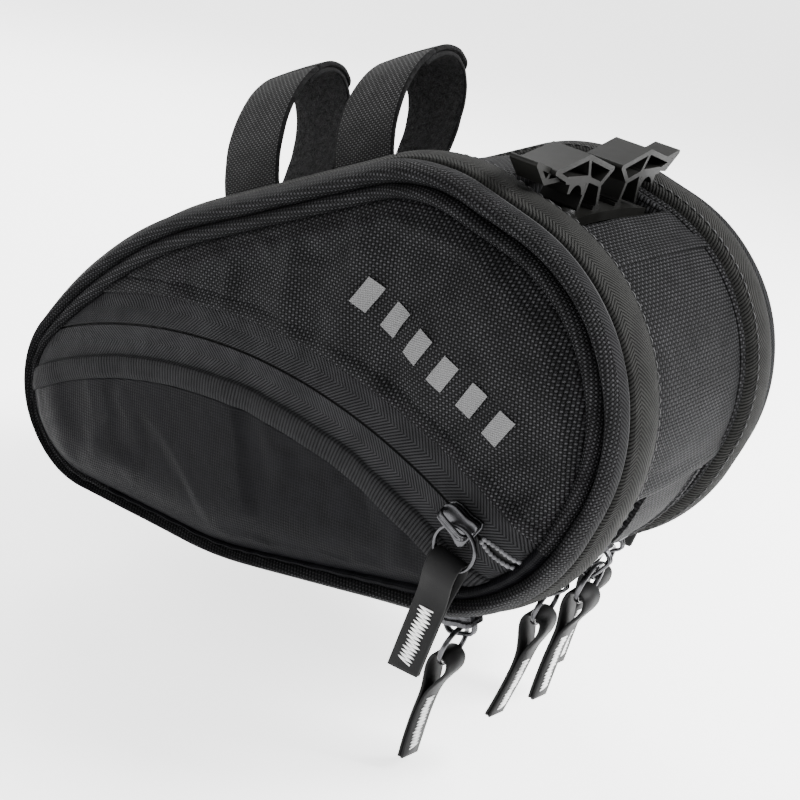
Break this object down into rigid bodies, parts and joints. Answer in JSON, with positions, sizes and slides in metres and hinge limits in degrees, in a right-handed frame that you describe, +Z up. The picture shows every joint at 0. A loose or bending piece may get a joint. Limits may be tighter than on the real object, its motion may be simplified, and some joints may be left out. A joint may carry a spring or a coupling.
{
  "type": "saddle bag",
  "caption": "Wedge-shaped fabric saddle bag with a rail clip, hook-and-loop straps, a hinged zipped side panel and side pockets.",
  "frame": {"origin": "midway between the two saddle rails, at the height of their centres in the clip", "axes": "+X towards the rear of the bike along the rails, +Z up, -Y the near side with the opening panel"},
  "size_m": [0.2099, 0.1406, 0.1924],
  "materials": {
    "foam": "closed-cell foam",
    "lining": "plain thin lining",
    "gusset_nylon": "coarse ballistic weave",
    "zip_tape": "herringbone twill",
    "grosgrain": "ribbed tape",
    "ballistic_nylon": "basket weave",
    "coated_fabric": "smooth semi-gloss coating",
    "reflective_print": "grey reflective print",
    "clip_plastic": "satin moulded",
    "steel": "plated screws",
    "hook_loop_webbing": "webbing with loop pile inside",
    "gunmetal": "dark gun-metal plating",
    "pull_rubber": "matt with white zigzag stitching"
  },
  "bodies": {
    "body": {"foam_shell": "foam", "lining": "lining", "gusset_top_front": "gusset_nylon", "gusset_clip_panel": "gusset_nylon", "gusset_rear_patch": "gusset_nylon", "gusset_lower_strip": "gusset_nylon", "gusset_bottom": "gusset_nylon", "nose_panel": "gusset_nylon", "near_zip_band": "zip_tape", "far_zip_band": "zip_tape", "hem_piping": "grosgrain", "near_expander_zip": "zip_tape", "far_expander_zip": "zip_tape", "clip_tray": "clip_plastic", "clip_base": "clip_plastic", "clip_screws": "steel", "strap_patches": "hook_loop_webbing", "far_side_backing": "foam", "far_side_roll": "ballistic_nylon", "far_side_panel": "ballistic_nylon", "far_reflective_bars": "reflective_print", "far_pocket_panel": "coated_fabric", "far_pocket_binding": "grosgrain", "far_pocket_zip": "zip_tape"},
    "side_panel": {"near_side_backing": "foam", "near_side_roll": "ballistic_nylon", "near_side_panel": "ballistic_nylon", "near_reflective_bars": "reflective_print", "near_pocket_panel": "coated_fabric", "near_pocket_binding": "grosgrain", "near_pocket_zip": "zip_tape"},
    "near_jaw": {"near_clip_jaw": "clip_plastic"},
    "far_jaw": {"far_clip_jaw": "clip_plastic"},
    "near_pocket_slider": {"near_pocket_slider": "gunmetal"},
    "near_pocket_ring": {"near_pocket_ring": "gunmetal"},
    "near_pocket_tab": {"near_pocket_tab": "pull_rubber"},
    "main_zip_slider": {"main_zip_slider": "gunmetal"},
    "main_zip_ring": {"main_zip_ring": "gunmetal"},
    "main_zip_tab": {"main_zip_tab": "pull_rubber"},
    "near_expander_upper_slider": {"near_expander_upper_slider": "gunmetal"},
    "near_expander_upper_ring": {"near_expander_upper_ring": "gunmetal"},
    "near_expander_upper_tab": {"near_expander_upper_tab": "pull_rubber"},
    "near_expander_lower_slider": {"near_expander_lower_slider": "gunmetal"},
    "near_expander_lower_ring": {"near_expander_lower_ring": "gunmetal"},
    "near_expander_lower_tab": {"near_expander_lower_tab": "pull_rubber"},
    "far_expander_slider": {"far_expander_slider": "gunmetal"},
    "far_expander_ring": {"far_expander_ring": "gunmetal"},
    "far_expander_tab": {"far_expander_tab": "pull_rubber"},
    "far_pocket_slider": {"far_pocket_slider": "gunmetal"},
    "far_pocket_ring": {"far_pocket_ring": "gunmetal"},
    "far_pocket_tab": {"far_pocket_tab": "pull_rubber"},
    "front_strap_near_leg": {"front_strap_near_leg": "hook_loop_webbing"},
    "front_strap_end_tab": {"front_strap_end_tab": "hook_loop_webbing"},
    "front_strap_far_leg": {"front_strap_far_leg": "hook_loop_webbing"},
    "rear_strap_near_leg": {"rear_strap_near_leg": "hook_loop_webbing"},
    "rear_strap_end_tab": {"rear_strap_end_tab": "hook_loop_webbing"},
    "rear_strap_far_leg": {"rear_strap_far_leg": "hook_loop_webbing"}
  },
  "joints": [
    {"name": "side_panel_open", "type": "hinge", "parent": "body", "child": "side_panel", "pos_m": [-0.00775, -0.04905, -0.124], "axis": [0.9659, 0, 0.2588], "range_deg": [0, 48]},
    {"name": "near_jaw_squeeze", "type": "hinge", "parent": "body", "child": "near_jaw", "pos_m": [0.0005, -0.007, -0.0031], "axis": [-1, 0, 0], "range_deg": [0, 12], "stiffness_Nm_per_rad": 2},
    {"name": "far_jaw_squeeze", "type": "hinge", "parent": "body", "child": "far_jaw", "pos_m": [0.0005, 0.007, -0.0031], "axis": [1, 0, 0], "range_deg": [0, 12], "stiffness_Nm_per_rad": 2},
    {"name": "near_pocket_zip_travel", "type": "hinge", "parent": "side_panel", "child": "near_pocket_slider", "pos_m": [-0.05, -0.0668, -0.238], "axis": [0, -1, 0], "range_deg": [0, 44]},
    {"name": "near_pocket_ring_swing", "type": "hinge", "parent": "near_pocket_slider", "child": "near_pocket_ring", "pos_m": [0.01996, -0.0668, -0.08087], "axis": [-0.9166, 0, -0.3998], "range_deg": [0, 100]},
    {"name": "near_pocket_tab_swing", "type": "hinge", "parent": "near_pocket_ring", "child": "near_pocket_tab", "pos_m": [0.02168, -0.0668, -0.09271], "axis": [-0.9925, 0, 0.1219], "range_deg": [0, 50]},
    {"name": "main_zip_zip_travel", "type": "hinge", "parent": "body", "child": "main_zip_slider", "pos_m": [-0.00228, -0.0445, -0.06456], "axis": [0, -1, 0], "range_deg": [-7, 42]},
    {"name": "main_zip_ring_swing", "type": "hinge", "parent": "main_zip_slider", "child": "main_zip_ring", "pos_m": [0.02025, -0.0445, -0.12033], "axis": [0, 1, 0], "range_deg": [-60, 35]},
    {"name": "main_zip_tab_swing", "type": "hinge", "parent": "main_zip_ring", "child": "main_zip_tab", "pos_m": [0.01874, -0.0445, -0.13264], "axis": [0, 1, 0], "range_deg": [-40, 40]},
    {"name": "near_expander_upper_zip_travel", "type": "hinge", "parent": "body", "child": "near_expander_upper_slider", "pos_m": [-0.00228, -0.0255, -0.06456], "axis": [0, -1, 0], "range_deg": [0, 12]},
    {"name": "near_expander_upper_ring_swing", "type": "hinge", "parent": "near_expander_upper_slider", "child": "near_expander_upper_ring", "pos_m": [0.04605, -0.0255, -0.09246], "axis": [0, 1, 0], "range_deg": [-60, 5]},
    {"name": "near_expander_upper_tab_swing", "type": "hinge", "parent": "near_expander_upper_ring", "child": "near_expander_upper_tab", "pos_m": [0.04453, -0.0255, -0.10477], "axis": [0, 1, 0], "range_deg": [-40, 5]},
    {"name": "near_expander_lower_zip_travel", "type": "hinge", "parent": "body", "child": "near_expander_lower_slider", "pos_m": [-0.00228, -0.0255, -0.06456], "axis": [0, -1, 0], "range_deg": [-24, 0]},
    {"name": "near_expander_lower_ring_swing", "type": "hinge", "parent": "near_expander_lower_slider", "child": "near_expander_lower_ring", "pos_m": [0.03578, -0.0255, -0.10537], "axis": [0, 1, 0], "range_deg": [-5, 25]},
    {"name": "near_expander_lower_tab_swing", "type": "hinge", "parent": "near_expander_lower_ring", "child": "near_expander_lower_tab", "pos_m": [0.03427, -0.0255, -0.11768], "axis": [0, 1, 0], "range_deg": [-5, 40]},
    {"name": "far_expander_zip_travel", "type": "hinge", "parent": "body", "child": "far_expander_slider", "pos_m": [-0.00228, 0.0255, -0.06456], "axis": [0, -1, 0], "range_deg": [-17, 35]},
    {"name": "far_expander_ring_swing", "type": "hinge", "parent": "far_expander_slider", "child": "far_expander_ring", "pos_m": [0.02973, 0.0255, -0.11027], "axis": [0, 1, 0], "range_deg": [-60, 25]},
    {"name": "far_expander_tab_swing", "type": "hinge", "parent": "far_expander_ring", "child": "far_expander_tab", "pos_m": [0.02822, 0.0255, -0.12258], "axis": [0, 1, 0], "range_deg": [-40, 40]},
    {"name": "far_pocket_zip_travel", "type": "hinge", "parent": "body", "child": "far_pocket_slider", "pos_m": [-0.05, 0.0668, -0.238], "axis": [0, -1, 0], "range_deg": [0, 44]},
    {"name": "far_pocket_ring_swing", "type": "hinge", "parent": "far_pocket_slider", "child": "far_pocket_ring", "pos_m": [0.01996, 0.0668, -0.08087], "axis": [0.9166, 0, 0.3998], "range_deg": [0, 100]},
    {"name": "far_pocket_tab_swing", "type": "hinge", "parent": "far_pocket_ring", "child": "far_pocket_tab", "pos_m": [0.02168, 0.0668, -0.09271], "axis": [0.9925, 0, -0.1219], "range_deg": [0, 50]},
    {"name": "front_strap_near_open", "type": "hinge", "parent": "body", "child": "front_strap_near_leg", "pos_m": [-0.0953, -0.01402, -0.03697], "axis": [0.8725, 0, 0.4886], "range_deg": [0, 32]},
    {"name": "front_strap_peel", "type": "hinge", "parent": "front_strap_near_leg", "child": "front_strap_end_tab", "pos_m": [-0.0953, -0.00893, 0.00745], "axis": [0.8725, 0, 0.4886], "range_deg": [0, 120]},
    {"name": "front_strap_far_open", "type": "hinge", "parent": "body", "child": "front_strap_far_leg", "pos_m": [-0.0953, 0.00879, -0.03697], "axis": [-0.8725, 0, -0.4886], "range_deg": [0, 20]},
    {"name": "rear_strap_near_open", "type": "hinge", "parent": "body", "child": "rear_strap_near_leg", "pos_m": [-0.0596, -0.008, -0.01697], "axis": [0.8725, 0, 0.4886], "range_deg": [0, 32]},
    {"name": "rear_strap_peel", "type": "hinge", "parent": "rear_strap_near_leg", "child": "rear_strap_end_tab", "pos_m": [-0.0596, -0.00249, 0.02281], "axis": [0.8725, 0, 0.4886], "range_deg": [0, 120]},
    {"name": "rear_strap_far_open", "type": "hinge", "parent": "body", "child": "rear_strap_far_leg", "pos_m": [-0.0596, 0.01676, -0.01697], "axis": [-0.8725, 0, -0.4886], "range_deg": [0, 20]}
  ],
  "couplings": [
    {"joint": "front_strap_near_open", "follows": "front_strap_peel", "ratio": 0.25},
    {"joint": "front_strap_far_open", "follows": "front_strap_peel", "ratio": 0.15},
    {"joint": "rear_strap_near_open", "follows": "rear_strap_peel", "ratio": 0.25},
    {"joint": "rear_strap_far_open", "follows": "rear_strap_peel", "ratio": 0.15}
  ]
}
